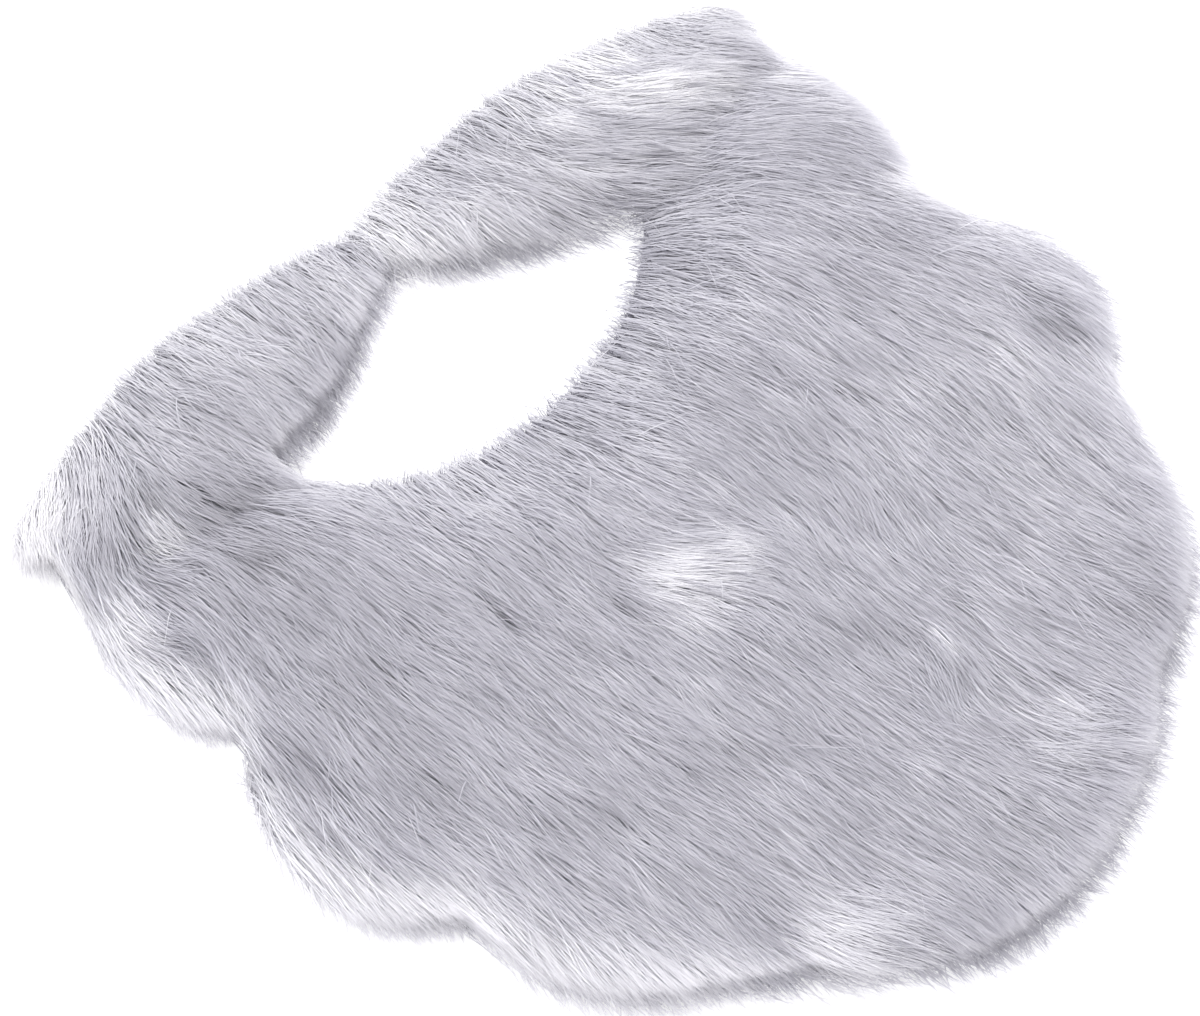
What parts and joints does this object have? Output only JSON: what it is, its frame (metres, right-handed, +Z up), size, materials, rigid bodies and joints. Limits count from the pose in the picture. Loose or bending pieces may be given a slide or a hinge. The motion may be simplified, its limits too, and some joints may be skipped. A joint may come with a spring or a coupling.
{
  "type": "fake beard",
  "caption": "Fake full beard of pale grey deep-pile fur fabric lying flat: a scalloped beard panel joined to a two-lobed moustache panel round an open mouth hole.",
  "frame": {"origin": "on the table plane, under the middle of the beard's whole outline", "axes": "+Z up from the knitted backing through the pile, +Y from the chin towards the nose, +X to the viewer's right, which is the wearer's left"},
  "size_m": [0.2338, 0.234, 0.0152],
  "materials": {
    "beard_fur": "deep, soft, pale lavender-grey pile of fine fibres in lying locks",
    "moustache_fur": "the same pile, a little paler, combed down and outwards",
    "knit_backing": "fine warp knit, matt, the pile's roots showing through as dots"
  },
  "bodies": {
    "root": {"beard_panel": "beard_fur", "moustache_panel": "moustache_fur"}
  },
  "joints": []
}
